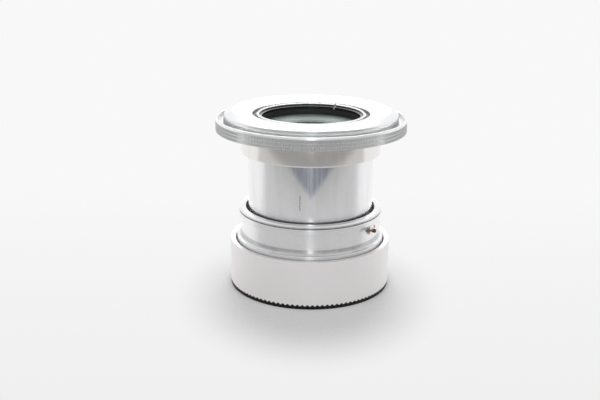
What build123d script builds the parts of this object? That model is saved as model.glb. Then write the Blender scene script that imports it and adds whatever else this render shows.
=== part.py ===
from build123d import *
import math
import os

# Collapsible lens standing front up in its drum. Millimetres, +Z towards the front glass.
# The lens axis is Z and the foot's underside is at height 0. -Y is the front of the drum.

# Sliding tube
tube_r = 15.8
tube_wall = 0.9
tube_travel = 14.0

# Mount barrel, from the tube outwards
lining_wall = 0.6
lug_height = 0.6
neck_wall = 0.45
skirt_step = 1.25
lip_step = 0.8
mouth_gap = 0.36

# Drum and foot
drum_wall = 1.34
drum_h = 11.4
foot_h = 0.65
foot_floor = 1.0
tooth_count = 106
tooth_depth = 0.6
mouth_land = 3.85
claw_h = 1.2
claw_width = 60.0

# Front end
collar_wall = 1.83
collar_h = 5.6
rim_r = 23.84
rim_h = 3.1
lip_wall = 0.64
channel_width = 1.4
disc_bevel_h = 0.9
disc_bevel_run = 2.1
disc_bore_r = 14.6
disc_dish = 0.85

# Optics and iris
block_wall = 1.2
control_wall = 0.85
cell_wall = 0.45
glass_r = 7.8
front_curve = 16.0
stop_r = 6.5
blade_count = 8
blade_thick = 0.08
blade_pitch = 0.13
blade_turn = 29.0
control_turn = 42.0

# Clearances
run = 0.05
slide_fit = 0.06
seat = 0.02
lug_gap = 0.1

# Radii that follow from the sizes above
bore_r = tube_r + slide_fit + lining_wall
lug_r = bore_r + lug_height - lug_gap
groove_r = bore_r + lug_height
neck_r = groove_r + neck_wall
skirt_r = neck_r + skirt_step
lip_r = neck_r + lip_step
mouth_r = skirt_r + mouth_gap
drum_r = mouth_r + drum_wall
collar_r = tube_r + seat + collar_wall
lip_in_r = rim_r - lip_wall
disc_r = lip_in_r - channel_width
block_r = tube_r - tube_wall - seat
control_r = block_r - block_wall - run
control_in_r = control_r - control_wall
cell_r = control_in_r - 2 * run
cell_bore_r = cell_r - cell_wall
chamber_r = block_r - 0.95

# Heights of the drum
drum_z = foot_h
drum_top = drum_z + drum_h
claw_top = drum_top - mouth_land
claw_z = claw_top - claw_h
counterbore_h = 0.95
foot_land_top = 4.4
spring_h = 0.45
spring_z = foot_land_top + run
lug_ring_z = spring_z + spring_h + run

# Heights of the mount barrel
barrel_z = claw_top + run
skirt_top = drum_top + 0.85
flare_top = skirt_top + 1.5
lip_z = flare_top + 3.8
lip_top = lip_z + 1.3
nut_h = 0.9
nut_top = lip_top + nut_h

# Heights of the tube and the front end, with the tube drawn out
tube_z = foot_floor + 0.4 + tube_travel
stop_ring_h = 1.0
collar_z = nut_top + 0.1 + tube_travel
rim_z = collar_z + collar_h + seat
tube_top = rim_z + 1.5
flange_h = 1.0
channel_z = rim_z + 1.9
disc_top = tube_top + flange_h + seat + 2.5
control_top = disc_top - disc_dish - 0.1
index_lip_top = disc_top - 1.6
index_lip_z = index_lip_top - 0.65
cell_top = index_lip_z - run

# Heights of the optics
web_h = 1.0
web_top = tube_top - 6.2
drive_h = 0.9
drive_z = web_top - web_h - run - drive_h
blade_top = drive_z - run
plate_h = 1.0
plate_top = blade_top - blade_count * blade_pitch
plate_z = plate_top - plate_h
clip_h = 0.6
clip_z = plate_z - clip_h - seat
block_z = clip_z - 5.0
rear_cell_h = 5.8


def turn(corners, mode=Mode.ADD):
    """Turn a closed half-section of (radius, height) corners about the lens axis."""
    with BuildSketch(Plane.XZ) as section:
        with BuildLine():
            Polyline(*corners, close=True)
        make_face()
    revolve(section.sketch, axis=Axis.Z, mode=mode)


def tube_of(r_in, r_out, z_low, z_high, mode=Mode.ADD):
    """Turn a plain ring between two radii and two heights."""
    turn([(r_in, z_low), (r_out, z_low), (r_out, z_high), (r_in, z_high)], mode)


def arc_block(r_in, r_out, z_low, z_high, middle, width, mode=Mode.ADD):
    """Make a block between two radii and two heights, centred on one angle."""
    with BuildSketch(Plane.XY.offset(z_low)) as outline:
        with BuildLine():
            outer = CenterArc((0, 0), r_out, middle - width / 2, width)
            inner = CenterArc((0, 0), r_in, middle - width / 2, width)
            Line(outer @ 0, inner @ 0)
            Line(outer @ 1, inner @ 1)
        make_face()
    extrude(outline.sketch, amount=z_high - z_low, mode=mode)


def upright_pin(radius, z_low, z_high, at_r, at_angle, mode=Mode.ADD):
    """Make a pin or a hole parallel to the lens axis."""
    with BuildSketch(Plane.XY.offset(z_low)) as spot:
        with PolarLocations(at_r, 1, start_angle=at_angle):
            Circle(radius)
    extrude(spot.sketch, amount=z_high - z_low, mode=mode)


def radial_plane(r, angle, z):
    """Return the plane that faces outwards at a radius, an angle and a height."""
    a = math.radians(angle)
    outward = (math.cos(a), math.sin(a), 0)
    return Plane(origin=(r * outward[0], r * outward[1], z), x_dir=(0, 0, 1), z_dir=outward)


def bulge(edge_r, rise, at_r):
    """Return how far a spherical face stands above its edge, at a radius."""
    curve = (edge_r ** 2 + rise ** 2) / (2 * rise)
    return rise - curve + math.sqrt(curve ** 2 - at_r ** 2)


def finish(piece, label):
    """Name a finished piece and write it to its own file."""
    piece.part.label = label
    export_step(piece.part, f"parts/{label}.step")


os.makedirs("parts", exist_ok=True)

# ---------------------------------------------------------------- drum and foot
# The foot screws into the drum and stands on the floor. Its land carries the flat spring.
foot_land_r = groove_r + 0.3
counterbore_r = drum_r - 0.45
with BuildPart() as foot:
    turn([
        (0, 0), (drum_r, 0), (drum_r, drum_z - seat), (counterbore_r - seat, drum_z - seat),
        (counterbore_r - seat, drum_z + counterbore_h - seat),
        (mouth_r - seat, drum_z + counterbore_h - seat), (mouth_r - seat, foot_land_top),
        (foot_land_r, foot_land_top), (foot_land_r, foot_floor), (0, foot_floor),
    ])
finish(foot, "foot")

# The claws stand inwards above the foot and leave three gaps for the lens's lugs.
lug_r_out = mouth_r - 0.2
claw_in_r = lug_r_out - 0.9
tooth_step = 2 * math.pi * drum_r / tooth_count
tooth_cut_r = 0.38 * tooth_step
tooth_cut_z = drum_z + tooth_depth - tooth_cut_r
gap_middles = [0, 120, 240]
claw_middles = [60, 180, 300]
pin_r = 0.4
lug_width = 50.0
bayonet_turn = 55.0
pin_at_r = (claw_in_r + mouth_r) / 2
pin_angle = lug_width / 2 + bayonet_turn + 2.0
with BuildPart() as drum:
    turn([
        (counterbore_r, drum_z), (drum_r, drum_z), (drum_r, drum_top - 0.15),
        (drum_r - 0.15, drum_top), (mouth_r + 0.1, drum_top), (mouth_r, drum_top - 0.1),
        (mouth_r, drum_z + counterbore_h), (counterbore_r, drum_z + counterbore_h),
    ])
    for middle in claw_middles:
        arc_block(claw_in_r, mouth_r + 0.3, claw_z, claw_top, middle, claw_width)
    upright_pin(pin_r + seat, claw_z, claw_top - 0.2, pin_at_r, pin_angle, Mode.SUBTRACT)
    with BuildSketch(radial_plane(mouth_r, 0, tooth_cut_z)) as notch:
        Circle(tooth_cut_r)
    notches = extrude(notch.sketch, amount=drum_wall + 1, mode=Mode.PRIVATE)
    with PolarLocations(0, tooth_count):
        add(notches, mode=Mode.SUBTRACT)
finish(drum, "drum")

# The pin hangs from one claw and stops the lens at the end of its turn.
with BuildPart() as stop_pin:
    upright_pin(pin_r, lug_ring_z, claw_top - 0.2 - seat, pin_at_r, pin_angle)
finish(stop_pin, "stop_pin")

# ---------------------------------------------------------------- flat spring
spring_in_r = foot_land_r + 0.1
with BuildPart() as spring_ring:
    tube_of(spring_in_r, mouth_r - lug_gap, spring_z, spring_z + spring_h)
finish(spring_ring, "spring_ring")

# ---------------------------------------------------------------- mount barrel
# The tube's lugs run down three straight grooves and turn in a ring groove at the top.
ring_groove_z = tube_z - lug_gap
ring_groove_top = tube_z + stop_ring_h + lug_gap
grip_z = ring_groove_top + 0.1
grip_h = 1.0
lining_z = grip_z + grip_h + 0.1
groove_width = 24.0
tube_turn = 30.0
bayonet_out_r = claw_in_r - lug_gap
with BuildPart() as mount_barrel:
    with BuildSketch(Plane.XZ) as barrel_section:
        with BuildLine():
            Polyline(
                (neck_r, flare_top), (neck_r, lip_z), (lip_r, lip_z), (lip_r, lip_top),
                (neck_r - 0.1, lip_top), (neck_r - 0.1, lip_top + seat), (bore_r, lip_top + seat),
                (bore_r, barrel_z), (skirt_r, barrel_z), (skirt_r, skirt_top),
            )
            Line((skirt_r, skirt_top), (skirt_r - 0.25, skirt_top))
            ThreePointArc(
                (skirt_r - 0.25, skirt_top), (neck_r + 0.28, skirt_top + 0.42), (neck_r, flare_top),
            )
        make_face()
    revolve(barrel_section.sketch, axis=Axis.Z)
    tube_of(bore_r - 1, groove_r, ring_groove_z, ring_groove_top, Mode.SUBTRACT)
    for middle in gap_middles:
        arc_block(bore_r - 1, groove_r - seat, barrel_z - 1, ring_groove_z + 0.1, middle, groove_width,
                  Mode.SUBTRACT)
finish(mount_barrel, "mount_barrel")

# The bayonet ring is threaded onto the barrel from behind.
bayonet_land_z = claw_z - lug_gap
bayonet_body_in_r = groove_r + run
with BuildPart() as rear_bayonet:
    tube_of(bayonet_body_in_r, bayonet_out_r, lug_ring_z, barrel_z - seat)
    for middle in gap_middles:
        arc_block(bayonet_out_r - 0.3, lug_r_out, lug_ring_z, bayonet_land_z, middle, lug_width)
finish(rear_bayonet, "rear_bayonet")

# A soft friction lining grips the tube just under the nut.
with BuildPart() as felt_lining:
    tube_of(tube_r + slide_fit, bore_r - seat, lining_z, lip_top - 0.2)
finish(felt_lining, "felt_lining")

groove_line_r = neck_r + 0.15
with BuildPart() as lining_nut:
    turn([
        (bore_r, lip_top + 2 * seat), (groove_line_r, lip_top + 2 * seat),
        (groove_line_r, lip_top + 0.16), (lip_r - 0.12, lip_top + 0.16),
        (lip_r - 0.12, nut_top - 0.3), (lip_r - 0.42, nut_top), (bore_r + 0.1, nut_top),
        (bore_r, nut_top - 0.1),
    ])
finish(lining_nut, "lining_nut")

# The ear under the lip carries the index dot and the catch.
ear_angle = -25.0
ear_width = 22.0
ear_out_r = lip_r - 0.05
ear_z = lip_z - 2.3
dot_angle = -29.5
dot_z = lip_z - 0.7
dot_r = 0.38
dot_depth = 0.2
catch_angle = -30.5
catch_z = lip_z - 1.7
catch_screw_r = 0.28
with BuildPart() as index_block:
    arc_block(neck_r + seat, ear_out_r, ear_z, lip_z - seat, ear_angle, ear_width)
    with BuildSketch(radial_plane(ear_out_r + 0.5, dot_angle, dot_z)) as dot_hole:
        Circle(dot_r + seat)
    extrude(dot_hole.sketch, amount=-0.5 - dot_depth, mode=Mode.SUBTRACT)
    with BuildSketch(radial_plane(ear_out_r + 0.5, catch_angle, catch_z)) as screw_hole:
        Circle(catch_screw_r + seat)
    extrude(screw_hole.sketch, amount=-0.5 - 0.55, mode=Mode.SUBTRACT)
finish(index_block, "index_block")

with BuildPart() as index_dot:
    with BuildSketch(radial_plane(ear_out_r, dot_angle, dot_z)) as dot_face:
        Circle(dot_r)
    extrude(dot_face.sketch, amount=-dot_depth + seat)
finish(index_dot, "index_dot")

# The catch is a small lever that turns on its shouldered screw. Its head is lozenge-shaped.
lever_reach = 3.9
lever_rise = 1.15
lever_off = run
lever_thick = 0.25
lever_r = ear_out_r + lever_off
lever_len = math.hypot(lever_rise, lever_reach)
head_at = 3.4
head_half_w = 0.58
head_half_l = 1.6


def lever_point(along, aside):
    """Return a point on the lever's plane, along the lever from its screw and to one side."""
    up, out = lever_rise / lever_len, lever_reach / lever_len
    return (along * up + aside * out, along * out - aside * up)


with BuildPart() as catch_lever:
    with BuildSketch(radial_plane(lever_r, catch_angle, catch_z)) as lever_outline:
        Circle(0.5)
        with BuildLine():
            Polyline(
                lever_point(0, -0.2), lever_point(0, 0.2), lever_point(head_at, 0.2),
                lever_point(head_at, -0.2),
                close=True,
            )
        make_face()
        with BuildLine():
            Polyline(
                lever_point(head_at - head_half_l, 0), lever_point(head_at, head_half_w),
                lever_point(head_at + head_half_l, 0), lever_point(head_at, -head_half_w),
                close=True,
            )
        make_face()
        Circle(catch_screw_r + run, mode=Mode.SUBTRACT)
    extrude(lever_outline.sketch, amount=lever_thick)
finish(catch_lever, "catch_lever")

with BuildPart() as catch_screw:
    with BuildSketch(radial_plane(ear_out_r - 0.5, catch_angle, catch_z)) as shank:
        Circle(catch_screw_r)
    extrude(shank.sketch, amount=0.5 + lever_off + lever_thick + run)
    head_r = ear_out_r + lever_off + lever_thick + run
    with BuildSketch(radial_plane(head_r, catch_angle, catch_z)) as screw_head:
        Circle(0.42)
    extrude(screw_head.sketch, amount=0.22)
    with BuildSketch(radial_plane(head_r + 0.1, catch_angle, catch_z)) as screw_slot:
        Rectangle(0.14, 1.2)
    extrude(screw_slot.sketch, amount=0.3, mode=Mode.SUBTRACT)
finish(catch_screw, "catch_screw")

# ---------------------------------------------------------------- grip ring
# The split ring clasps the tube, so it turns with it, and the tube slides through.
with BuildPart() as grip_ring:
    tube_of(tube_r + slide_fit, bore_r - lug_gap, grip_z, grip_z + grip_h)
    arc_block(tube_r - 1, bore_r + 1, grip_z - 1, grip_z + grip_h + 1, 90, 4, Mode.SUBTRACT)
finish(grip_ring, "grip_ring")

# ---------------------------------------------------------------- tube and front end
tail_r = tube_r - 0.4
with BuildPart() as tube:
    turn([
        (tube_r - tube_wall, tube_z), (tail_r, tube_z), (tail_r, tube_z + stop_ring_h + seat),
        (tube_r, tube_z + stop_ring_h + seat), (tube_r, tube_top), (tube_r - tube_wall, tube_top),
    ])
finish(tube, "tube")

tube_lug_width = groove_width - 2.0
with BuildPart() as stop_ring:
    tube_of(tail_r + seat, bore_r - lug_gap, tube_z, tube_z + stop_ring_h)
    for middle in gap_middles:
        arc_block(bore_r - 0.5, lug_r, tube_z, tube_z + stop_ring_h, middle, tube_lug_width)
finish(stop_ring, "stop_ring")

with BuildPart() as collar:
    turn([
        (tube_r + seat, collar_z), (collar_r - 0.35, collar_z), (collar_r, collar_z + 0.35),
        (collar_r, rim_z - seat), (tube_r + seat, rim_z - seat),
    ])
finish(collar, "collar")

# The grip rim has a raised lip round a shallow channel, and three knurled bands outside.
# Three screws through the lens block's flange hold it.
flange_screw_r = 0.68
flange_screw_at_r = tube_r + 1.3
screw_angles = [60, 180, 300]
knurl_h = rim_h - 0.6
groove_w = 0.16
groove_d = 0.18
with BuildPart() as rim_ring:
    turn([
        (tube_r + seat, rim_z), (rim_r - 0.15, rim_z), (rim_r, rim_z + 0.15),
        (rim_r, rim_z + knurl_h), (lip_in_r + 0.3, rim_z + rim_h), (lip_in_r, rim_z + rim_h - 0.1),
        (lip_in_r, channel_z), (disc_r - 0.6, channel_z), (disc_r - 0.6, tube_top),
        (tube_r + seat, tube_top),
    ])
    for step in (1, 2):
        line_z = rim_z + knurl_h * step / 3
        tube_of(rim_r - groove_d, rim_r + 1, line_z - groove_w / 2, line_z + groove_w / 2,
                Mode.SUBTRACT)
    for angle in screw_angles:
        upright_pin(flange_screw_r + seat, rim_z + 0.3, tube_top + 1, flange_screw_at_r, angle,
                    Mode.SUBTRACT)
finish(rim_ring, "rim_ring")

# The disc's face falls slightly towards its bore.
flange_r = tube_r + 2.6
with BuildPart() as front_disc:
    turn([
        (disc_bore_r, tube_top + flange_h + seat), (flange_r + seat, tube_top + flange_h + seat),
        (flange_r + seat, tube_top + seat), (disc_r - 0.65, tube_top + seat),
        (disc_r - 0.65, channel_z + seat), (disc_r, channel_z + seat),
        (disc_r, disc_top - disc_bevel_h), (disc_r - disc_bevel_run, disc_top),
        (disc_bore_r + 0.15, disc_top - disc_dish), (disc_bore_r, disc_top - disc_dish - 0.15),
    ])
finish(front_disc, "front_disc")

# ---------------------------------------------------------------- lens block
# The web under the front bore carries the front cell. The iris lies in the chamber below it.
link_at_r = (control_r + control_in_r) / 2
link_r = 0.25
link_angle = 60.5
cell_seat_r = 9.5
with BuildPart() as lens_block:
    turn([
        (control_r + run, web_top), (control_r + run, tube_top + flange_h + 1.0),
        (disc_bore_r - 0.1, tube_top + flange_h + 1.0), (disc_bore_r - 0.1, tube_top + flange_h),
        (flange_r, tube_top + flange_h), (flange_r, tube_top + seat),
        (block_r, tube_top + seat), (block_r, block_z), (chamber_r, block_z),
        (chamber_r, web_top - web_h), (cell_seat_r, web_top - web_h), (cell_seat_r, web_top),
    ])
    slot_middle = link_angle + control_turn / 2
    arc_block(link_at_r - link_r - 0.12, link_at_r + link_r + 0.12, web_top - web_h - 0.5,
              web_top + 0.5, slot_middle, control_turn + 5, Mode.SUBTRACT)
    for angle in screw_angles:
        upright_pin(flange_screw_r + 0.07, tube_top - 1, tube_top + flange_h + 1,
                    flange_screw_at_r, angle, Mode.SUBTRACT)
finish(lens_block, "lens_block")

with BuildPart() as flange_screws:
    for angle in screw_angles:
        upright_pin(flange_screw_r, rim_z + 0.35, tube_top + flange_h, flange_screw_at_r, angle)
        slot_plane = Plane.XY.offset(tube_top + flange_h - 0.25)
        with BuildSketch(slot_plane) as flange_slot:
            with PolarLocations(flange_screw_at_r, 1, start_angle=angle):
                Rectangle(2, 0.2)
        extrude(flange_slot.sketch, amount=0.5, mode=Mode.SUBTRACT)
finish(flange_screws, "flange_screws")

# ---------------------------------------------------------------- aperture control
# A lip inside the ring lies over the front cell and carries the index mark.
skirt_z = web_top + run
notch_w = 0.5
notch_depth = 0.6
mark_r = 0.22
mark_z = (index_lip_top + index_lip_z) / 2
with BuildPart() as aperture_ring:
    turn([
        (control_in_r, skirt_z), (control_r, skirt_z), (control_r, control_top - 0.2),
        (control_r - 0.2, control_top), (control_in_r + 0.25, control_top),
        (control_in_r, control_top - 0.35), (control_in_r, index_lip_top),
        (cell_bore_r, index_lip_top), (cell_bore_r, index_lip_z), (control_in_r, index_lip_z),
    ])
    arc_block(control_in_r - 1, control_r + 1, control_top - notch_depth, control_top + 1, link_angle,
              math.degrees(notch_w / control_r), Mode.SUBTRACT)
    upright_pin(link_r + seat, skirt_z - 1, skirt_z + 1.5, link_at_r, link_angle, Mode.SUBTRACT)
    with BuildSketch(radial_plane(cell_bore_r - 0.3, link_angle, mark_z)) as mark_hole:
        Circle(mark_r + seat)
    extrude(mark_hole.sketch, amount=0.3 + 0.2, mode=Mode.SUBTRACT)
finish(aperture_ring, "aperture_ring")

with BuildPart() as index_mark:
    with BuildSketch(radial_plane(cell_bore_r + 0.02, link_angle, mark_z)) as mark_face:
        Circle(mark_r)
    extrude(mark_face.sketch, amount=0.15)
finish(index_mark, "index_mark")

with BuildPart() as link_screw:
    upright_pin(link_r, drive_z + 0.1, skirt_z + 1.4, link_at_r, link_angle)
finish(link_screw, "link_screw")

# ---------------------------------------------------------------- iris
# Each blade turns on a pivot pin in the plate. Its drive pin follows a cam slot in the drive
# ring, whose shape is the pin's own path seen from the turning ring.
pivot_at_r = chamber_r - 2.65
pivot_r = 0.4
arm = 2.6
arm_angle = -105.0
drive_pin_r = 0.35
blade_in_r = stop_r + 0.2
blade_out_r = pivot_at_r - 1.35
blade_span = 105.0
blade_ratio = blade_turn / control_turn
drive_r = chamber_r - run * 2


def pin_path(ring_turn, blade_angle):
    """Return the drive pin's place in the drive ring's own frame, for one ring angle."""
    lean = math.radians(arm_angle + ring_turn * blade_ratio)
    x = pivot_at_r + arm * math.cos(lean)
    y = arm * math.sin(lean)
    back = math.radians(blade_angle - ring_turn)
    return (x * math.cos(back) - y * math.sin(back), x * math.sin(back) + y * math.cos(back))


with BuildPart() as drive_ring:
    tube_of(stop_r + 1.3, drive_r, drive_z, drive_z + drive_h)
    with BuildSketch(Plane.XY.offset(drive_z - 0.1)) as cam_slots:
        for index in range(blade_count):
            angle = index * 360 / blade_count
            with BuildLine() as cam:
                ThreePointArc(
                    pin_path(-1.5, angle),
                    pin_path(control_turn / 2, angle),
                    pin_path(control_turn + 1.5, angle),
                )
            SlotArc(cam.edges()[0], 2 * (drive_pin_r + 0.12))
    extrude(cam_slots.sketch, amount=drive_h + 0.2, mode=Mode.SUBTRACT)
    upright_pin(link_r + seat, drive_z - 1, drive_z + drive_h + 1, link_at_r, link_angle,
                Mode.SUBTRACT)
finish(drive_ring, "drive_ring")

for index in range(blade_count):
    angle = index * 360 / blade_count
    top = blade_top - run - index * blade_pitch
    blade_plane = Plane.XY.offset(top - blade_thick).rotated((0, 0, angle))
    pivot_spot = (pivot_at_r, 0)
    drive_x = pivot_at_r + arm * math.cos(math.radians(arm_angle))
    drive_y = arm * math.sin(math.radians(arm_angle))
    with BuildPart() as blade:
        with BuildSketch(blade_plane) as blade_outline:
            with BuildLine():
                outer_edge = CenterArc((0, 0), blade_out_r, 0, blade_span)
                inner_edge = CenterArc((0, 0), blade_in_r, 0, blade_span)
                Line(outer_edge @ 0, inner_edge @ 0)
                Line(outer_edge @ 1, inner_edge @ 1)
            make_face()
            with Locations(pivot_spot):
                Circle(0.85)
            with Locations((drive_x, drive_y)):
                Circle(0.75)
            with BuildLine():
                Polyline(
                    (pivot_at_r + 0.75, 0), (drive_x + 0.7, drive_y), (drive_x - 0.7, drive_y),
                    (blade_out_r - 1.2, 0), (blade_out_r - 0.6, 3.0), (pivot_at_r - 0.1, 0.8),
                    close=True,
                )
            make_face()
        extrude(blade_outline.sketch, amount=blade_thick)
        with BuildSketch(Plane.XY.offset(plate_z + 0.2).rotated((0, 0, angle))) as pivot_pin:
            with Locations(pivot_spot):
                Circle(pivot_r)
        extrude(pivot_pin.sketch, amount=top - plate_z - 0.2)
        with BuildSketch(blade_plane) as drive_pin:
            with Locations((drive_x, drive_y)):
                Circle(drive_pin_r)
        extrude(drive_pin.sketch, amount=drive_z + drive_h - 0.1 - top + blade_thick)
    finish(blade, f"iris_blade_{index + 1}")

with BuildPart() as iris_plate:
    tube_of(stop_r, chamber_r - seat, plate_z, plate_top - run)
    with BuildSketch(Plane.XY.offset(plate_z - 0.1)) as pivot_holes:
        with PolarLocations(pivot_at_r, blade_count):
            Circle(pivot_r + slide_fit)
    extrude(pivot_holes.sketch, amount=plate_h + 0.2, mode=Mode.SUBTRACT)
finish(iris_plate, "iris_plate")

with BuildPart() as iris_clip:
    tube_of(chamber_r - 1.2, chamber_r - seat, clip_z, clip_z + clip_h)
    arc_block(chamber_r - 2, chamber_r + 1, clip_z - 1, clip_z + clip_h + 1, 90, 10,
              Mode.SUBTRACT)
finish(iris_clip, "iris_clip")

# ---------------------------------------------------------------- front optics
# From behind: second element on the cell's lip, spacer, front element, and the name ring.
cell_lip_z = web_top - web_h + 0.1
second_z = cell_lip_z + 0.5
second_edge = 1.5
spacer_h = 0.9
front_edge = 1.5
spacer_z = second_z + second_edge + seat
front_z = spacer_z + spacer_h + seat
front_rim_z = front_z + front_edge
front_rise = front_curve - math.sqrt(front_curve ** 2 - glass_r ** 2)
name_ring_top = index_lip_top - 2.2
bore_step_z = front_rim_z + 0.3
glass_lip = 0.8
hollow_r = glass_r - glass_lip
with BuildPart() as front_cell:
    turn([
        (glass_r + seat, second_z), (glass_r + seat, bore_step_z), (cell_bore_r, bore_step_z),
        (cell_bore_r, cell_top), (cell_r, cell_top), (cell_r, web_top + seat),
        (cell_seat_r - seat, web_top + seat), (cell_seat_r - seat, cell_lip_z),
        (hollow_r, cell_lip_z), (hollow_r, second_z),
    ])
finish(front_cell, "front_cell")

front_hollow = 0.35
back_hollow = 0.45
second_top = second_z + second_edge
second_foot = second_z + seat
with BuildPart() as second_element:
    with BuildSketch(Plane.XZ) as second_section:
        with BuildLine():
            Line((0, second_foot + back_hollow), (0, second_top - front_hollow))
            ThreePointArc(
                (0, second_top - front_hollow),
                (hollow_r / 2, second_top - bulge(hollow_r, front_hollow, hollow_r / 2)),
                (hollow_r, second_top),
            )
            Polyline((hollow_r, second_top), (glass_r, second_top), (glass_r, second_foot),
                     (hollow_r, second_foot))
            ThreePointArc(
                (hollow_r, second_foot),
                (hollow_r / 2, second_foot + bulge(hollow_r, back_hollow, hollow_r / 2)),
                (0, second_foot + back_hollow),
            )
        make_face()
    revolve(second_section.sketch, axis=Axis.Z)
finish(second_element, "second_element")

with BuildPart() as spacer_ring:
    tube_of(hollow_r, glass_r, spacer_z, spacer_z + spacer_h)
finish(spacer_ring, "spacer_ring")

with BuildPart() as front_element:
    with BuildSketch(Plane.XZ) as front_section:
        with BuildLine():
            Polyline((0, front_rim_z + front_rise), (0, front_z), (glass_r, front_z),
                     (glass_r, front_rim_z))
            ThreePointArc(
                (glass_r, front_rim_z),
                (glass_r / 2, front_rim_z + bulge(glass_r, front_rise, glass_r / 2)),
                (0, front_rim_z + front_rise),
            )
        make_face()
    revolve(front_section.sketch, axis=Axis.Z)
finish(front_element, "front_element")

nose_r = glass_r - 0.35
nose_z = front_rim_z + bulge(glass_r, front_rise, nose_r) + run
with BuildPart() as name_ring:
    turn([
        (nose_r, nose_z), (glass_r, nose_z), (glass_r, bore_step_z + seat),
        (cell_bore_r - seat, bore_step_z + seat), (cell_bore_r - seat, name_ring_top),
        (cell_bore_r - 0.6, name_ring_top), (glass_r + 0.3, name_ring_top - 0.6),
        (nose_r, name_ring_top - 1.0),
    ])
finish(name_ring, "name_ring")

# ---------------------------------------------------------------- rear optics
rear_cell_top = clip_z - seat
rear_cell_z = rear_cell_top - rear_cell_h
rear_glass_r = 6.9
rear_lip_z = rear_cell_top - 0.6
rear_front_z = rear_lip_z - seat
front_half = 1.6
back_half = 1.3
joint_rise = 0.9
with BuildPart() as rear_cell:
    turn([
        (rear_glass_r - glass_lip, rear_lip_z), (rear_glass_r - glass_lip, rear_cell_top),
        (chamber_r - seat, rear_cell_top), (chamber_r - seat, rear_cell_top - 2.4),
        (chamber_r - 3.6, rear_cell_top - 3.0), (chamber_r - 3.6, rear_cell_z),
        (rear_glass_r + seat, rear_cell_z), (rear_glass_r + seat, rear_lip_z),
    ])
finish(rear_cell, "rear_cell")

joint_z = rear_front_z - front_half
joint_mid = joint_z + bulge(rear_glass_r, joint_rise, rear_glass_r / 2)
with BuildPart() as rear_doublet_front:
    with BuildSketch(Plane.XZ) as crown_section:
        with BuildLine():
            Polyline((0, joint_z + joint_rise), (0, rear_front_z), (rear_glass_r, rear_front_z),
                     (rear_glass_r, joint_z))
            ThreePointArc((rear_glass_r, joint_z), (rear_glass_r / 2, joint_mid),
                          (0, joint_z + joint_rise))
        make_face()
    revolve(crown_section.sketch, axis=Axis.Z)
finish(rear_doublet_front, "rear_doublet_front")

back_z = joint_z - seat - back_half
back_bulge = 0.8
back_mid = back_z - bulge(rear_glass_r, back_bulge, rear_glass_r / 2)
with BuildPart() as rear_doublet_back:
    with BuildSketch(Plane.XZ) as flint_section:
        with BuildLine():
            ThreePointArc((rear_glass_r, joint_z - seat), (rear_glass_r / 2, joint_mid - seat),
                          (0, joint_z - seat + joint_rise))
            Line((0, joint_z - seat + joint_rise), (0, back_z - back_bulge))
            ThreePointArc((0, back_z - back_bulge), (rear_glass_r / 2, back_mid),
                          (rear_glass_r, back_z))
            Line((rear_glass_r, back_z), (rear_glass_r, joint_z - seat))
        make_face()
    revolve(flint_section.sketch, axis=Axis.Z)
finish(rear_doublet_back, "rear_doublet_back")

with BuildPart() as rear_nut:
    tube_of(rear_glass_r - 0.7, rear_glass_r, rear_cell_z + 0.3, back_z - 0.15)
finish(rear_nut, "rear_nut")
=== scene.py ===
import math

import bmesh
import bpy
import numpy as np
from mathutils import Matrix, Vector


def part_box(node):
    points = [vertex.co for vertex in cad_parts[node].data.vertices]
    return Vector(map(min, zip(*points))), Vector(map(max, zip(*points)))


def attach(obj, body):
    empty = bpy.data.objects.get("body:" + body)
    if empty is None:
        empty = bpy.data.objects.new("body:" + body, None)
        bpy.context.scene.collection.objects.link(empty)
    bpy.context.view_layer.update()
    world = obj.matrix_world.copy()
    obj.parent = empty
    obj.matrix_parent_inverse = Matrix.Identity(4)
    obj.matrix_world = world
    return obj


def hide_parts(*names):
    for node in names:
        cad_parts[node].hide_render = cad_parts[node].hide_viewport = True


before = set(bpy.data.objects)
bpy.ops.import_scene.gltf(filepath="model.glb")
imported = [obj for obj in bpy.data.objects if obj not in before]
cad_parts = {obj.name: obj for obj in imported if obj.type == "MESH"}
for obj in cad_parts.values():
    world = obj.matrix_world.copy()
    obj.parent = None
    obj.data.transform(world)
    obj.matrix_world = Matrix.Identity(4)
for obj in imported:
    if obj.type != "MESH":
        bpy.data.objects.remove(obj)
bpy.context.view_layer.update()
MM = 0.001


# ------------------------------------------------------------------ studio
# A white table with one large soft light behind and above it. The world stands in for the white
# room that polished metal shows: dimmer in front, with one bright strip straight ahead.
class Flow:
    """A node socket that Python arithmetic turns into Math nodes."""

    def __init__(self, tree, socket):
        self.tree = tree
        self.socket = socket

    def math(self, operation, *values):
        node = self.tree.nodes.new("ShaderNodeMath")
        node.operation = operation
        for slot, value in zip(node.inputs, values):
            feed(self.tree, slot, value)
        return Flow(self.tree, node.outputs[0])

    def __add__(self, other):
        return self.math("ADD", self, other)

    def __radd__(self, other):
        return self.math("ADD", other, self)

    def __sub__(self, other):
        return self.math("SUBTRACT", self, other)

    def __rsub__(self, other):
        return self.math("SUBTRACT", other, self)

    def __mul__(self, other):
        return self.math("MULTIPLY", self, other)

    def __rmul__(self, other):
        return self.math("MULTIPLY", other, self)

    def __truediv__(self, other):
        return self.math("DIVIDE", self, other)

    def root(self):
        return self.math("SQRT", self)

    def abs(self):
        return self.math("ABSOLUTE", self)

    def between(self, low, high):
        """Return 1 between two levels and 0 outside them."""
        return self.math("GREATER_THAN", self, low) * self.math("LESS_THAN", self, high)


def feed(tree, slot, value):
    """Link a socket to an input, or write a plain value on it."""
    if isinstance(value, Flow):
        tree.links.new(value.socket, slot)
    else:
        slot.default_value = value


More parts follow.
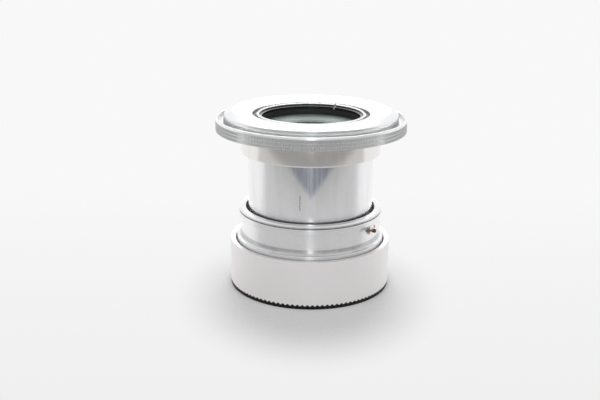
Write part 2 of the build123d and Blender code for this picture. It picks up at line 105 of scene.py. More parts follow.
class Shade:
    """A node tree in which any node is made by one method."""

    def __init__(self, tree):
        self.tree = tree
        tree.nodes.clear()

    def node(self, kind, settings=None, output=0, **values):
        made = self.tree.nodes.new(kind)
        for key, value in (settings or {}).items():
            setattr(made, key, value)
        for key, value in values.items():
            name = key.replace("_", " ")
            slot = made.inputs[int(key[1:])] if key[1:].isdigit() else made.inputs[name]
            feed(self.tree, slot, value)
        return Flow(self.tree, made.outputs[output]) if made.outputs else None

    def place(self):
        """Return the point's place on the piece: x, y, z, radius and angle, in millimetres."""
        point = self.node("ShaderNodeTexCoord", output=3)
        parts = self.tree.nodes.new("ShaderNodeSeparateXYZ")
        feed(self.tree, parts.inputs[0], point)
        x, y, z = (Flow(self.tree, out) / MM for out in parts.outputs)
        angle = x.math("ARCTAN2", y, x)
        return x, y, z, (x * x + y * y).root(), angle

    def vector(self, x, y, z):
        return self.node("ShaderNodeCombineXYZ", s0=x, s1=y, s2=z)

    def noise(self, vector, scale, detail=3.0, roughness=0.5):
        return self.node("ShaderNodeTexNoise", Vector=vector, Scale=scale, Detail=detail,
                         Roughness=roughness)

    def fade(self, value, start, end, first, last):
        """Move smoothly from one level to another while a value goes from start to end."""
        return self.node("ShaderNodeMapRange", {"interpolation_type": "SMOOTHSTEP"}, Value=value,
                         s1=start, s2=end, s3=first, s4=last)

    def mix(self, factor, first, second):
        """Mix two colours."""
        return self.node("ShaderNodeMix", {"data_type": "RGBA"}, output=2, s0=factor, s6=first,
                         s7=second)

    def surface(self, **values):
        shader = self.node("ShaderNodeBsdfPrincipled", **values)
        self.node("ShaderNodeOutputMaterial", Surface=shader)
        return shader

    def bump(self, height, strength, depth):
        """Return a normal that stands up by a height, in millimetres."""
        return self.node("ShaderNodeBump", Strength=strength, Distance=depth * MM, Height=height)


def material(name):
    made = bpy.data.materials.new(name)
    made.use_nodes = True
    return made, Shade(made.node_tree)


def grey(level, warm=0.0):
    return (level + warm, level, level - warm, 1.0)


camera_data = bpy.data.cameras.new("camera")
camera_data.sensor_width = 36.0
camera_data.lens = 52.39
camera_data.clip_start = 0.005
camera = bpy.data.objects.new("camera", camera_data)
camera.location = (-2.602 * MM, -214.273 * MM, 87.243 * MM)
camera.rotation_mode = "XYZ"
looks_down = 17.073
pitch = Matrix.Rotation(math.radians(90 - looks_down), 3, "X")
roll = Matrix.Rotation(math.radians(0.5), 3, "Z")
camera.rotation_euler = (pitch @ roll).to_euler()
studio = bpy.context.scene.collection
studio.objects.link(camera)
bpy.context.scene.camera = camera
bpy.context.scene.view_settings.view_transform = "Standard"

world = bpy.data.worlds.new("white_room")
bpy.context.scene.world = world
world.use_nodes = True
room = Shade(world.node_tree)
direction = room.node("ShaderNodeTexCoord", output=0)
sides = world.node_tree.nodes.new("ShaderNodeSeparateXYZ")
feed(world.node_tree, sides.inputs[0], direction)
across, ahead, up = (Flow(world.node_tree, out) for out in sides.outputs)
around = across.math("ARCTAN2", across, 0.0 - ahead).abs()
dark_front = room.fade(around, 1.50, 1.66, 1.0, 0.0)
strip = room.fade(around, 0.03, 0.09, 1.0, 0.0)
low_side = room.fade(up, 0.3, 0.95, 1.0, 0.0)
room_level = 1.00 - 0.42 * dark_front * low_side + 2.8 * strip * low_side
seen = room.node("ShaderNodeLightPath", output="Is Camera Ray")
mirrored = room.node("ShaderNodeLightPath", output="Is Glossy Ray")
through = room.node("ShaderNodeLightPath", output="Is Transmission Ray")
shown = seen.math("MAXIMUM", seen, through)
lit_level = 0.66
level = shown * 0.95 + (1.0 - shown) * (mirrored * room_level + (1.0 - mirrored) * lit_level)
background = room.node("ShaderNodeBackground", Color=(0.985, 0.99, 1.0, 1.0), Strength=level)
room.node("ShaderNodeOutputWorld", Surface=background)


def soft_light(name, place, aim, size, watts):
    """Add one square soft light that points at a place."""
    data = bpy.data.lights.new(name, "AREA")
    data.shape = "SQUARE"
    data.size = size
    data.energy = watts
    lamp = bpy.data.objects.new(name, data)
    lamp.location = place
    away = lamp.location - type(lamp.location)(aim)
    lamp.rotation_euler = away.to_track_quat("Z", "Y").to_euler()
    studio.objects.link(lamp)


soft_light("back_window", (0.0, 0.46, 0.44), (0, 0, 0.03), 0.34, 2.0)

floor_paint, shade = material("white_table")
x, y, z, r, angle = shade.place()
mottle = shade.noise(shade.vector(x, y, 0.0), 0.12, 4.0)
seen = shade.node("ShaderNodeLightPath", output="Is Camera Ray")
mirrored = shade.node("ShaderNodeLightPath", output="Is Glossy Ray")
grit = shade.noise(shade.vector(x, y, 0.0), 1.1, 6.0, 0.7)
paper = shade.mix(mottle, grey(0.88, 0.002), grey(0.92, 0.002))
paper = shade.mix((grit - 0.35) * 0.9, paper, grey(0.74, 0.004))
sheet = shade.node("ShaderNodeBsdfDiffuse", Color=paper, Roughness=0.8)
off_side, off_front = x * 1.3, y + 8.0
reach = (off_side * off_side + off_front * off_front).root()
far = shade.fade(reach, 20.0, 46.0, 0.0, 1.0)
# Painted light: to camera rays the table glows, a little darker towards the front as painted shade. To
# mirror rays it glows as a painted reflection: darker in front, standing for the shadow on the camera's
# side, and brighter behind.
painted_floor_glow = shade.node("ShaderNodeMapRange", Value=y, s1=-80.0, s2=80.0, s3=0.86, s4=0.94)
painted_front_shade = shade.fade(y, -135.0, -80.0, 0.38, 0.70)
painted_reflection_level = shade.fade(y, -14.0, 12.0, painted_front_shade, 1.04)
floor_glow_emission = shade.node("ShaderNodeEmission", Color=grey(1.0),
                   Strength=seen * painted_floor_glow + mirrored * painted_reflection_level)
floor_mix = shade.node("ShaderNodeMixShader", s0=far * seen + mirrored, s1=sheet, s2=floor_glow_emission)
shade.node("ShaderNodeOutputMaterial", Surface=floor_mix)
floor_mesh = bpy.data.meshes.new("table")
side = 3.0
floor_mesh.from_pydata([(-side, -side, 0), (side, -side, 0), (side, side, 0), (-side, side, 0)], [],
                       [(0, 1, 2, 3)])
floor_mesh.materials.append(floor_paint)
table = bpy.data.objects.new("table", floor_mesh)
studio.objects.link(table)


# ------------------------------------------------------------------ foot
# The foot is a moulded black disc that screws into the drum and stands on the table.
# Its rim is smooth; the drum's teeth come down over its upper edge.
def eased(corners, ease):
    """Round every sharp corner of a closed half-section with three short steps."""
    points = []
    count = len(corners)
    for index in range(count):
        before = np.array(corners[index - 1])
        here = np.array(corners[index])
        after = np.array(corners[(index + 1) % count])
        back, ahead_way = before - here, after - here
        long_back, long_ahead = np.linalg.norm(back), np.linalg.norm(ahead_way)
        bend = math.degrees(math.acos(max(-1, min(1, back @ ahead_way / long_back / long_ahead))))
        if bend > 155 or here[0] < 1e-6:
            points.append(tuple(here))
            continue
        cut = min(ease, long_back * 0.4, long_ahead * 0.4)
        start = here + back / long_back * cut
        end = here + ahead_way / long_ahead * cut
        for step in (0.0, 1 / 3, 2 / 3, 1.0):
            chord = start * (1 - step) ** 2 + here * 2 * step * (1 - step) + end * step ** 2
            points.append(tuple(chord))
    return points


def turned(name, corners, steps=256, ease=0.06, wave=None):
    """Spin a closed half-section, given as (radius, height) in millimetres, about the lens axis.

    wave, if given, takes a radius, a height and an angle and returns the point's own two.
    """
    outline = eased(corners, ease) if ease else list(corners)
    form = bmesh.new()
    rings = []
    for radius, height in outline:
        if radius < 1e-6:
            rings.append([form.verts.new((0, 0, height * MM))])
            continue
        ring = []
        for step in range(steps):
            a = 2 * math.pi * step / steps
            rr, zz = wave(radius, height, a) if wave else (radius, height)
            ring.append(form.verts.new((rr * MM * math.cos(a), rr * MM * math.sin(a), zz * MM)))
        rings.append(ring)
    count = len(outline)
    for index in range(count):
        one, two = rings[index], rings[(index + 1) % count]
        if len(one) == 1 and len(two) == 1:
            continue
        for step in range(steps):
            after = (step + 1) % steps
            loop = [one[step % len(one)], one[after % len(one)], two[after % len(two)],
                    two[step % len(two)]]
            corners_here = list(dict.fromkeys(loop))
            form.faces.new(corners_here)
    bmesh.ops.recalc_face_normals(form, faces=form.faces)
    for face in form.faces:
        face.smooth = True
    for edge in form.edges:
        if len(edge.link_faces) == 2 and edge.calc_face_angle() > math.radians(12):
            edge.smooth = False
    mesh = bpy.data.meshes.new(name)
    form.to_mesh(mesh)
    form.free()
    piece = bpy.data.objects.new(name, mesh)
    studio.objects.link(piece)
    return piece


def fit(piece, paint, body, slot, *nodes):
    """Give a piece its finish and its body, and let it stand for its CAD nodes."""
    piece.data.materials.clear()
    piece.data.materials.append(paint)
    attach(piece, body)
    if nodes:
        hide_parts(*nodes)


def size_of(node):
    """Return a turned node's outer radius, lowest level and highest level, in millimetres."""
    low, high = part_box(node)
    return (high[0] - low[0]) / 2 / MM, low[2] / MM, high[2] / MM


moulded, shade = material("moulded_black")
x, y, z, r, angle = shade.place()
grain = shade.noise(shade.vector(x, y, z), 9.0, 4.0)
scuffs = shade.noise(shade.vector(x, y, z * 4.0), 1.2, 5.0)
shade.surface(Base_Color=shade.mix(scuffs, grey(0.004), grey(0.012, 0.001)), Roughness=0.5 + 0.2 * grain,
              Specular_IOR_Level=0.2, Normal=shade.bump(grain, 0.25, 0.03))

drum_r, drum_low, drum_top = size_of("drum")
foot_r, foot_low, foot_top = size_of("foot")
mouth_wall = 1.34
tooth_deep = 0.6
mouth_r = drum_r - mouth_wall
foot_land_in = mouth_r - 1.95
foot = turned("foot_shell", [
    (0, foot_low), (foot_r - 0.05, foot_low), (foot_r - 0.02, drum_low), (drum_r - 0.12, drum_low),
    (drum_r - 0.12, drum_low + tooth_deep + 0.3), (mouth_r - 0.02, drum_low + tooth_deep + 0.3),
    (mouth_r - 0.02, foot_top), (foot_land_in, foot_top), (foot_land_in, 1.0), (0, 1.0),
], ease=0.08)
fit(foot, moulded, "drum_base", "black_plastic", "foot")


# ------------------------------------------------------------------ drum
# The drum is turned from aluminium, bead-blasted and clear anodised to a soft off-white.
# Its lower edge is milled into fine rounded teeth; three claws inside hold the lens's lugs.
satin, shade = material("satin_drum")
x, y, z, r, angle = shade.place()
fine = shade.noise(shade.vector(x, y, z), 14.0, 3.0)
cloud = shade.noise(shade.vector(x, y, z), 0.12, 3.0)
satin_tone = shade.mix(cloud, (0.92, 0.89, 0.885, 1), (0.96, 0.935, 0.93, 1))
shade.surface(Base_Color=satin_tone, Metallic=0.35 + 0.1 * cloud, Roughness=0.42 + 0.14 * fine,
              Normal=shade.bump(fine, 0.22, 0.02))

tooth_count = 106
tooth_root = 0.15
tooth_wave = 0.4


def toothed(radius, height, a):
    """Raise the drum's lower edge into rounded notches between the teeth."""
    if height > drum_low + 1e-3:
        return radius, height
    return radius, drum_low + tooth_root + tooth_wave * (0.5 + 0.5 * math.cos(a * tooth_count))


drum = turned("drum_shell", [
    (drum_r - 0.42, drum_low), (drum_r, drum_low), (drum_r, drum_low + 0.9), (drum_r, drum_top - 0.12),
    (drum_r - 0.12, drum_top), (mouth_r + 0.12, drum_top), (mouth_r, drum_top - 0.12),
    (mouth_r, drum_low + 1.3), (drum_r - 0.42, drum_low + 0.95),
], steps=tooth_count * 8, ease=0, wave=toothed)
fit(drum, satin, "drum_base", "satin_aluminium", "drum")


def arc_block(name, r_in, r_out, low, high, middle, width, steps=40):
    """Make a block between two radii and two levels, centred on one angle in degrees."""
    form = bmesh.new()
    sections = []
    for step in range(steps + 1):
        a = math.radians(middle - width / 2 + width * step / steps)
        corner = [(r_in, low), (r_out, low), (r_out, high), (r_in, high)]
        sections.append([form.verts.new((rr * MM * math.cos(a), rr * MM * math.sin(a), zz * MM))
                         for rr, zz in corner])
    for one, two in zip(sections, sections[1:]):
        for side in range(4):
            form.faces.new((one[side], one[(side + 1) % 4], two[(side + 1) % 4], two[side]))
    form.faces.new(sections[0])
    form.faces.new(sections[-1])
    bmesh.ops.recalc_face_normals(form, faces=form.faces)
    mesh = bpy.data.meshes.new(name)
    form.to_mesh(mesh)
    form.free()
    piece = bpy.data.objects.new(name, mesh)
    studio.objects.link(piece)
    return piece


claw_top = drum_top - 3.85
claw_low = claw_top - 1.2
for number, middle in enumerate((60, 180, 300), 1):
    claw = arc_block(f"drum_claw_{number}", mouth_r - 1.1, mouth_r + 0.2, claw_low, claw_top, middle, 60)
    fit(claw, satin, "drum_base", "satin_aluminium")


# ------------------------------------------------------------------ mount barrel
# The barrel is turned brass with a bright nickel plate: a skirt that drops into the drum, a
# concave flare, a plain neck and a narrow lip. It is polished, with faint lines round it.
def shaded(tone, share):
    """Return a colour at a share of its brightness."""
    return tuple(level * share for level in tone[:3]) + (1,)


def plated(name, tone, base_rough, streaks, band):
    """Make a polished plated metal with faint turning lines, soft stains and one band of painted shade.

    band is the lowest and highest level of the band of painted shade, in millimetres.
    """
    made, paint = material(name)
    x, y, z, r, angle = paint.place()
    lines = paint.noise(paint.vector(r * 9.0, z * 9.0, angle * 0.6), 1.6, 3.0)
    stain = paint.noise(paint.vector(x, y, z), 0.35, 5.0, 0.6)
    streak = paint.noise(paint.vector(angle * 9.0, z * 0.10, 0.0), 1.0, 4.0, 0.65)
    colour = paint.mix(streak * streaks, tone, shaded(tone, 1 - 0.16 * streaks))
    colour = paint.mix(stain * 0.25, colour, shaded(tone, 0.86))
    low, high = band
    half = (high - low) / 2
    # Painted shade: this band is darkened as a painted reflection of the dark next to it.
    painted_dark_band = paint.fade((z - (low + half)).abs(), half * 0.5, half, 0.75, 0.0)
    colour = paint.mix(painted_dark_band * (0.4 + 0.6 * streak), colour, shaded(tone, 0.30))
    rough = base_rough + 0.10 * lines + 0.08 * stain
    paint.surface(Base_Color=colour, Metallic=1.0, Roughness=rough, Anisotropic=0.9,
                  Anisotropic_Rotation=0.25, Normal=paint.bump(lines, 0.10, 0.012))
    return made


# On the barrel the band of painted shade lies low on the flare, standing for the dark drum rim and gap
# mirrored there.
nickel = plated("bright_nickel", (0.86, 0.86, 0.865, 1), 0.2, 0.6, (12.95, 14.3))
barrel_r, barrel_low, lip_top = size_of("mount_barrel")
nut_r, nut_low, nut_top = size_of("lining_nut")
tube_r, tube_low, tube_top = size_of("tube")
bore_r = tube_r + 0.66
skirt_r = barrel_r
lip_r = barrel_r - 0.45
neck_r = lip_r - 0.8
lip_low = lip_top - 1.32
skirt_top = drum_top + 0.85
flare_top = skirt_top + 1.5
flare = []
for step in range(13):
    a = math.pi / 2 * step / 12
    flare.append((skirt_r - 0.25 - (skirt_r - 0.25 - neck_r) * math.sin(a),
                  flare_top - (flare_top - skirt_top) * math.cos(a)))
barrel = turned("mount_barrel_shell", [
    (bore_r, barrel_low), (skirt_r, barrel_low), (skirt_r, skirt_top - 0.08), (skirt_r - 0.08, skirt_top),
    *flare, (neck_r, lip_low), (lip_r - 0.05, lip_low), (lip_r, lip_low + 0.08),
    (lip_r, lip_top - 0.1), (lip_r - 0.1, lip_top), (bore_r, lip_top),
], ease=0.05, steps=320)
fit(barrel, nickel, "mount", "bright_metal", "mount_barrel")

nut = turned("lining_nut_shell", [
    (bore_r, nut_low), (lip_r - 0.65, nut_low), (lip_r - 0.65, nut_low + 0.14),
    (nut_r - 0.06, nut_low + 0.14), (nut_r, nut_low + 0.20), (nut_r, nut_top - 0.32),
    (nut_r - 0.34, nut_top), (bore_r + 0.1, nut_top), (bore_r, nut_top - 0.1),
], ease=0.04, steps=320)
# On the nut the band of painted shade lies along its lower wall, standing for the dark mirrored in it.
nut_nickel = plated("nut_nickel", (0.86, 0.86, 0.865, 1), 0.18, 0.6, (nut_low - 0.35, nut_low + 0.6))
fit(nut, nut_nickel, "mount", "bright_metal", "lining_nut")


def dress(paint, *nodes):
    """Give CAD nodes a finish in place of their plain one."""
    for node in nodes:
        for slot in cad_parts[node].material_slots:
            slot.material = paint


felt, shade = material("pressed_felt")
x, y, z, r, angle = shade.place()
fibre = shade.noise(shade.vector(x, y, z), 6.0, 6.0, 0.7)
shade.surface(Base_Color=shade.mix(fibre, grey(0.008), grey(0.035)), Roughness=0.95,
              Normal=shade.bump(fibre, 0.6, 0.08))
dress(felt, "felt_lining")

dress(nickel, "rear_bayonet", "index_block")


# ------------------------------------------------------------------ index dot and catch
# The ear under the lip carries a red enamel dot and a small browned-bronze lever on a screw.
# The lever's lozenge head lies under the lip and drops when the lever is turned.
def enamel(name, tone):
    made, paint = material(name)
    x, y, z, *_ = paint.place()
    chips = paint.noise(paint.vector(x, y, z), 5.0, 4.0)
    paint.surface(Base_Color=paint.mix(chips, tone, shaded(tone, 0.7)), Roughness=0.28 + 0.2 * chips)
    return made


dress(enamel("red_enamel", (0.78, 0.06, 0.07, 1)), "index_dot")
bronze, shade = material("browned_bronze")
x, y, z, r, angle = shade.place()
patina = shade.noise(shade.vector(x, y, z), 2.2, 5.0)
shade.surface(Base_Color=shade.mix(patina, (0.05, 0.03, 0.02, 1), (0.30, 0.15, 0.08, 1)),
              Metallic=0.7 + 0.2 * patina, Roughness=0.35 + 0.25 * patina,
              Normal=shade.bump(patina, 0.3, 0.03))
dress(bronze, "catch_lever", "catch_screw")


# ------------------------------------------------------------------ sliding tube
# The tube is thin drawn brass, plated and polished by years of sliding. It shows soft upright streaks, and
# one fine upright scratch near its lower end on the front. A blue-grey wedge on the front, widening up to
# the collar, is a painted reflection of the dark under the collar.
polished, shade = material("polished_tube")
x, y, z, r, angle = shade.place()
streak = shade.noise(shade.vector(angle * 7.0, z * 0.05, 0.0), 1.0, 4.0, 0.6)
lines = shade.noise(shade.vector(angle * 2.0, z * 6.0, 0.0), 1.5, 3.0)
haze = shade.noise(shade.vector(x, y, z), 0.25, 4.0)
front_angle = -math.pi / 2
scratch_at, scratch_wide = front_angle - 0.172, 0.012
scratch = angle.between(scratch_at, scratch_at + scratch_wide) * z.between(23.5, 27.2)
# Painted reflection: a streaked blue-grey wedge on the front, widening upwards, stands for the dark under
# the collar mirrored in the tube.
painted_reflection_half = (z - 26.5) * 0.045
painted_dark_reflection = shade.fade((angle - front_angle).abs() - painted_reflection_half, -0.08, 0.06, 1.0, 0.0)
tone = shade.mix(streak, (0.90, 0.90, 0.91, 1), (0.74, 0.735, 0.75, 1))
painted_reflection_streak = shade.noise(shade.vector(angle * 22.0, z * 0.04, 3.0), 1.0, 3.0, 0.7)
tone = shade.mix(painted_dark_reflection * (0.1 + 1.3 * painted_reflection_streak * z.between(26.0, 40.0)), tone, (0.42, 0.45, 0.52, 1))
tone = shade.mix(scratch, tone, (0.32, 0.31, 0.32, 1))
shade.surface(Base_Color=tone, Metallic=1.0, Roughness=0.18 + 0.10 * haze + 0.05 * lines,
              Anisotropic=0.6, Anisotropic_Rotation=0.25, Normal=shade.bump(lines + streak, 0.12, 0.02))
tube_wall = 0.9
tube = turned("tube_shell", [
    (tube_r - tube_wall, tube_low), (tube_r - 0.4, tube_low), (tube_r - 0.4, tube_low + 1.02),
    (tube_r, tube_low + 1.02), (tube_r, tube_top), (tube_r - tube_wall, tube_top),
], ease=0.05, steps=320)
fit(tube, polished, "lens_head", "bright_metal", "tube")

brass, shade = material("turned_brass")
x, y, z, r, angle = shade.place()
lines = shade.noise(shade.vector(r * 8.0, z * 8.0, angle), 1.5, 3.0)
shade.surface(Base_Color=shade.mix(lines, (0.55, 0.40, 0.18, 1), (0.72, 0.56, 0.28, 1)), Metallic=1.0,
              Roughness=0.25 + 0.15 * lines, Normal=shade.bump(lines, 0.2, 0.02))
dress(brass, "stop_ring", "drive_ring", "iris_plate")


# ------------------------------------------------------------------ collar and grip rim
# Both are turned aluminium. The rim has three finely knurled bands with two grooves between
# them, a smooth raised lip above and a shallow channel inside it.
def turned_metal(name, tone, rough, ring_lines, spread=0.8, crest=None, dark_bore=None,
                 bright_line=None):
    """Make bright turned aluminium with fine lines round it and upright shimmer.

    spread is how far its lines stretch a highlight across them.
    crest is the radius of the ridge tops; below it the colour darkens as painted shade in the roots between
    the ridges.
    dark_bore is the radius within which the wall is blackened, all but a thin lighter grey line at the
    height of bright_line.
    """
    made, paint = material(name)
    _, _, z, r, angle = paint.place()
    lines = paint.noise(paint.vector(r * ring_lines, z * ring_lines, 0.0), 1.0, 2.0)
    shimmer = paint.noise(paint.vector(angle * 14.0, z * 0.2, r * 0.05), 1.0, 4.0, 0.7)
    colour = paint.mix(shimmer, tone, shaded(tone, 0.84))
    metal = 1.0
    if crest:
        # Painted shade: the colour darkens towards the roots between the ridges.
        painted_root_shade = paint.node("ShaderNodeMapRange", Value=r, s1=crest - 0.15, s2=crest - 0.02, s3=1.0, s4=0.0)
        colour = paint.mix(painted_root_shade, colour, shaded(tone, 0.50))
    if dark_bore:
        bore = r.math("LESS_THAN", r, dark_bore)
        colour = paint.mix(bore, colour, grey(0.012, -0.001))
        # A thin lighter grey line runs round the blackened wall at the height of bright_line.
        grey_line = z.between(bright_line - 0.05, bright_line + 0.05) * bore * (0.5 + 0.5 * shimmer)
        colour = paint.mix(grey_line, colour, grey(0.42, -0.002))
        metal = 1.0 - bore
    paint.surface(Base_Color=colour, Metallic=metal, Roughness=rough + 0.10 * lines, Anisotropic=spread,
                  Anisotropic_Rotation=0.25, Normal=paint.bump(lines, 0.15, 0.015))
    return made


aluminium = turned_metal("turned_aluminium", (0.92, 0.925, 0.925, 1), 0.24, 7.0)
collar_r, collar_low, collar_top = size_of("collar")
collar = turned("collar_shell", [
    (tube_r + 0.02, collar_low), (collar_r - 0.45, collar_low), (collar_r - 0.12, collar_low + 0.12),
    (collar_r, collar_low + 0.45), (collar_r, collar_top), (tube_r + 0.02, collar_top),
], ease=0.05, steps=320)
collar_metal = turned_metal("collar_metal", (0.86, 0.845, 0.82, 1), 0.12, 7.0, spread=0.3)
fit(collar, collar_metal, "lens_head", "turned_aluminium", "collar")

rim_r, rim_low, rim_top = size_of("rim_ring")
disc_r, disc_low, disc_top = size_of("front_disc")
knurl_h = rim_top - rim_low - 0.6
knurl_root = rim_r - 0.16
lip_in = rim_r - 0.64
rim = turned("rim_shell", [
    (tube_r + 0.02, rim_low), (knurl_root - 0.12, rim_low), (knurl_root, rim_low + 0.12),
    (knurl_root, rim_low + knurl_h), (rim_r - 0.05, rim_low + knurl_h + 0.06),
    (lip_in + 0.32, rim_top), (lip_in + 0.05, rim_top), (lip_in, rim_top - 0.08),
    (lip_in, rim_low + 1.9), (disc_r - 0.6, rim_low + 1.9), (disc_r - 0.6, rim_low + 1.5),
    (tube_r + 0.02, rim_low + 1.5),
], ease=0.04, steps=360)
fit(rim, aluminium, "lens_head", "turned_aluminium", "rim_ring")


def ridge_tree(paint):
    """Build the tree that sets upright ridges round a cylinder in one or more bands."""
    tree = bpy.data.node_groups.new("ridges", "GeometryNodeTree")
    inputs = (("Ridges", "NodeSocketInt"), ("Root radius", "NodeSocketFloat"),
              ("Ridge depth", "NodeSocketFloat"), ("Band height", "NodeSocketFloat"),
              ("Bands", "NodeSocketInt"), ("Band step", "NodeSocketFloat"),
              ("First band", "NodeSocketFloat"))
    for label, kind in inputs:
        tree.interface.new_socket(label, in_out="INPUT", socket_type=kind)
    tree.interface.new_socket("Mesh", in_out="OUTPUT", socket_type="NodeSocketGeometry")

    def add(kind, settings=None, **links):
        node = tree.nodes.new(kind)
        for key, value in (settings or {}).items():
            setattr(node, key, value)
        for key, value in links.items():
            slot = node.inputs[key.replace("_", " ")] if not key[1:].isdigit() else node.inputs[int(key[1:])]
            if isinstance(value, bpy.types.NodeSocket):
                tree.links.new(value, slot)
            else:
                slot.default_value = value
        return node

    given = add("NodeGroupInput").outputs
    ring = add("GeometryNodeMeshCircle", Vertices=given["Ridges"], Radius=given["Root radius"])
    ridge = add("GeometryNodeMeshCylinder", Vertices=4, Radius=given["Ridge depth"],
                Depth=given["Band height"])
    index = add("GeometryNodeInputIndex")
    share = add("ShaderNodeMath", {"operation": "DIVIDE"}, s0=index.outputs[0], s1=given["Ridges"])
    turn = add("ShaderNodeMath", {"operation": "MULTIPLY"}, s0=share.outputs[0], s1=2 * math.pi)
    face_out = add("ShaderNodeCombineXYZ", s2=turn.outputs[0])
    spin = add("FunctionNodeEulerToRotation", s0=face_out.outputs[0])
    band = add("GeometryNodeInstanceOnPoints", Points=ring.outputs[0], Instance=ridge.outputs[0],
               Rotation=spin.outputs[0])
    start = add("ShaderNodeCombineXYZ", s2=given["First band"])
    step = add("ShaderNodeCombineXYZ", s2=given["Band step"])
    levels = add("GeometryNodeMeshLine", Count=given["Bands"], Start_Location=start.outputs[0],
                 Offset=step.outputs[0])
    bands = add("GeometryNodeInstanceOnPoints", Points=levels.outputs[0], Instance=band.outputs[0])
    real = add("GeometryNodeRealizeInstances", Geometry=bands.outputs[0])
    coat = add("GeometryNodeSetMaterial", Geometry=real.outputs[0], Material=paint)
    add("NodeGroupOutput", Mesh=coat.outputs[0])
    return tree


def ridges(name, paint, body, slot, **sizes):
    """Run the ridge tree once and keep its result as a plain mesh."""
    tree = ridge_tree(paint)
    seed = bpy.data.objects.new(name + "_seed", bpy.data.meshes.new(name + "_seed"))
    studio.objects.link(seed)
    modifier = seed.modifiers.new("ridges", "NODES")
    modifier.node_group = tree
    for item in tree.interface.items_tree:
        if item.in_out == "INPUT":
            modifier[item.identifier] = sizes[item.name.lower().replace(" ", "_")]
    bpy.context.view_layer.update()
    evaluated = seed.evaluated_get(bpy.context.evaluated_depsgraph_get())
    mesh = bpy.data.meshes.new_from_object(evaluated)
    mesh.name = name
    bpy.data.objects.remove(seed)
    piece = bpy.data.objects.new(name, mesh)
    studio.objects.link(piece)
    fit(piece, paint, body, slot)
    return piece


band_step = knurl_h / 3
knurled = turned_metal("knurled_rim", (0.97, 0.97, 0.965, 1), 0.38, 7.0, spread=0.95, crest=rim_r)
ridges("rim_knurl", knurled, "lens_head", "turned_aluminium", ridges=340,
       root_radius=(knurl_root - 0.02) * MM, ridge_depth=0.18 * MM, band_height=(band_step - 0.17) * MM,
       bands=3, band_step=band_step * MM, first_band=(rim_low + band_step / 2) * MM)


# ------------------------------------------------------------------ front disc
# The disc is bright turned aluminium with a bevelled edge and a finely milled side wall.
# Its face is plain: the marks that such a disc carries are left off.
disc_metal, shade = material("disc_metal")
x, y, z, r, angle = shade.place()
rings = shade.noise(shade.vector(r * 12.0, 0.0, 0.0), 1.0, 2.0)
cloud = shade.noise(shade.vector(x, y, z), 0.16, 4.0)
shade.surface(Base_Color=shade.mix(cloud, (0.86, 0.865, 0.87, 1), (0.80, 0.805, 0.81, 1)), Metallic=0.9,
              Roughness=0.20 + 0.08 * cloud, Anisotropic=0.4, Anisotropic_Rotation=0.25,
              Normal=shade.bump(rings, 0.12, 0.012))
disc_bore = 14.6
face_low = disc_top - 0.85
disc = turned("front_disc_shell", [
    (disc_bore, disc_top - 2.5), (disc_r - 0.65, disc_top - 2.5), (disc_r - 0.65, disc_low),
    (disc_r - 0.1, disc_low), (disc_r - 0.1, disc_top - 1.0), (disc_r - 0.25, disc_top - 0.86),
    (disc_r - 2.1, disc_top), (disc_bore + 0.15, face_low), (disc_bore, face_low - 0.15),
], ease=0.05, steps=360)
fit(disc, disc_metal, "lens_head", "turned_aluminium", "front_disc")
milled = turned_metal("milled_disc_edge", (0.95, 0.95, 0.95, 1), 0.24, 7.0, crest=disc_r)
ridges("disc_milling", milled, "lens_head", "turned_aluminium", ridges=260,
       root_radius=(disc_r - 0.15) * MM, ridge_depth=0.15 * MM, band_height=1.5 * MM, bands=1,
       band_step=0.001, first_band=(disc_low + 0.78) * MM)


# ------------------------------------------------------------------ lens block
# The block is black-anodised aluminium. Its wall end shows as the dark floor of the groove
# between the disc and the aperture ring.
black, shade = material("black_anodised")
x, y, z, r, angle = shade.place()
lines = shade.noise(shade.vector(r * 6.0, z * 6.0, angle), 1.2, 3.0)
wear = shade.noise(shade.vector(x, y, z), 0.8, 5.0)
shade.surface(Base_Color=shade.mix(wear, grey(0.010), grey(0.028, -0.002)), Roughness=0.42 + 0.2 * lines,
              Normal=shade.bump(lines, 0.2, 0.015))
dress(black, "lens_block", "spacer_ring", "rear_cell", "rear_nut")

steel, shade = material("blued_steel")
x, y, z, r, angle = shade.place()
brushed = shade.noise(shade.vector(x * 3.0, y * 0.4, z * 3.0), 3.0, 3.0)
shade.surface(Base_Color=shade.mix(brushed, (0.10, 0.11, 0.13, 1), (0.17, 0.18, 0.20, 1)), Metallic=1.0,
              Roughness=0.3 + 0.2 * brushed)
dress(steel, "spring_ring", "grip_ring", "iris_clip", "flange_screws", "link_screw", "stop_pin",
      *[f"iris_blade_{number}" for number in range(1, 9)])


# ------------------------------------------------------------------ aperture ring
# A narrow bright ring that turns in the block, blackened inside. A notch is cut across its face,
# and a white enamel spot on the lip under the notch shows the setting.
ring_r, ring_low, ring_top = size_of("aperture_ring")
ring_in = ring_r - 0.85
ring_lip = ring_top - 0.65
control_metal = turned_metal("control_metal", (0.90, 0.90, 0.895, 1), 0.14, 9.0,
                             dark_bore=ring_in + 0.12, bright_line=ring_lip)
control = turned("aperture_ring_shell", [
    (ring_in, ring_low), (ring_r, ring_low), (ring_r, ring_top - 0.2), (ring_r - 0.2, ring_top),
    (ring_in + 0.25, ring_top), (ring_in, ring_top - 0.35), (ring_in, ring_lip),
    (ring_in - 0.5, ring_lip), (ring_in - 0.5, ring_lip - 0.65), (ring_in, ring_lip - 0.65),
], ease=0.04, steps=320)
notch_angle = 60.5
cutter = arc_block("notch_cutter", ring_in - 0.4, ring_r + 0.5, ring_top - 0.6, ring_top + 0.5,
                   notch_angle, 2.2, steps=3)
cut = control.modifiers.new("notch", "BOOLEAN")
cut.operation = "DIFFERENCE"
cut.solver = "EXACT"
cut.object = cutter
bpy.context.view_layer.update()
notched = bpy.data.meshes.new_from_object(control.evaluated_get(bpy.context.evaluated_depsgraph_get()))
control.modifiers.remove(cut)
control.data = notched
bpy.data.objects.remove(cutter)
fit(control, control_metal, "aperture", "turned_aluminium", "aperture_ring")
dress(enamel("white_enamel", (0.88, 0.88, 0.86, 1)), "index_mark")


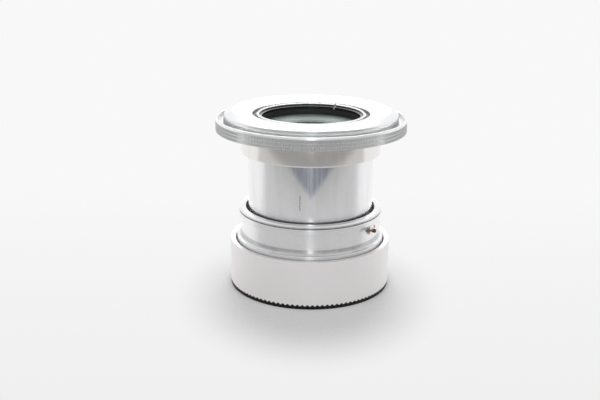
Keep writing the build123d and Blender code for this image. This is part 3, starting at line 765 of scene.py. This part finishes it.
# ------------------------------------------------------------------ front cell and name ring
# The cell is a black-anodised cup under the aperture ring's lip. The dark ring inside it, turned
# with fine circles, holds the glass; it is bare of lettering.
cell_r, cell_low, cell_top = size_of("front_cell")
cell_black, shade = material("cell_black")
x, y, z, r, angle = shade.place()
lines = shade.noise(shade.vector(0.0, z * 8.0, angle), 1.0, 3.0)
wear = shade.noise(shade.vector(x, y, z), 0.8, 5.0)
shade.surface(Base_Color=shade.mix(wear, grey(0.012, -0.001), grey(0.024, -0.002)),
              Roughness=0.45 + 0.15 * lines, Normal=shade.bump(lines, 0.3, 0.02))
cell_bore = cell_r - 0.45
cell_floor = cell_top - 3.55
barrel_of_cell = 9.48
shoulder = cell_low + 0.92
glass_bore = 7.82
ledge_bore = 7.0
ledge_top = cell_low + 0.5
cell = turned("front_cell_shell", [
    (ledge_bore, cell_low), (barrel_of_cell, cell_low), (barrel_of_cell, shoulder),
    (cell_r, shoulder), (cell_r, cell_top), (cell_bore, cell_top), (cell_bore, cell_floor),
    (glass_bore, cell_floor), (glass_bore, ledge_top), (ledge_bore, ledge_top),
], ease=0.04, steps=320)
fit(cell, cell_black, "lens_head", "black_anodised", "front_cell")

ring_finish, shade = material("dark_turned_ring")
x, y, z, r, angle = shade.place()
ripple = shade.noise(shade.vector(x, y, z), 0.9, 3.0)
turning = shade.noise(shade.vector(r * 14.0, 0.0, 0.0), 1.0, 2.0)
shade.surface(Base_Color=shade.mix(ripple, (0.25, 0.28, 0.265, 1), (0.19, 0.215, 0.205, 1)), Metallic=0.95,
              Roughness=0.40 + 0.08 * turning, Anisotropic=0.95, Anisotropic_Rotation=0.25,
              Coat_Weight=0.3 + 0.2 * ripple, Normal=shade.bump(turning, 0.2, 0.01))
dress(ring_finish, "name_ring")


# ------------------------------------------------------------------ glass
# Four elements of clear polished glass, uncoated. Their ground and blackened edges are not drawn: each
# element takes the glass finish all over.
glass, shade = material("optical_glass")
x, y, z, r, angle = shade.place()
smear = shade.noise(shade.vector(x, y, z), 0.4, 4.0)
shade.surface(Base_Color=shade.mix(smear, (0.93, 0.99, 0.96, 1), (0.90, 0.97, 0.94, 1)),
              Roughness=0.01 + 0.03 * smear, Transmission_Weight=1.0, IOR=1.52)
dress(glass, "front_element", "second_element", "rear_doublet_front", "rear_doublet_back")
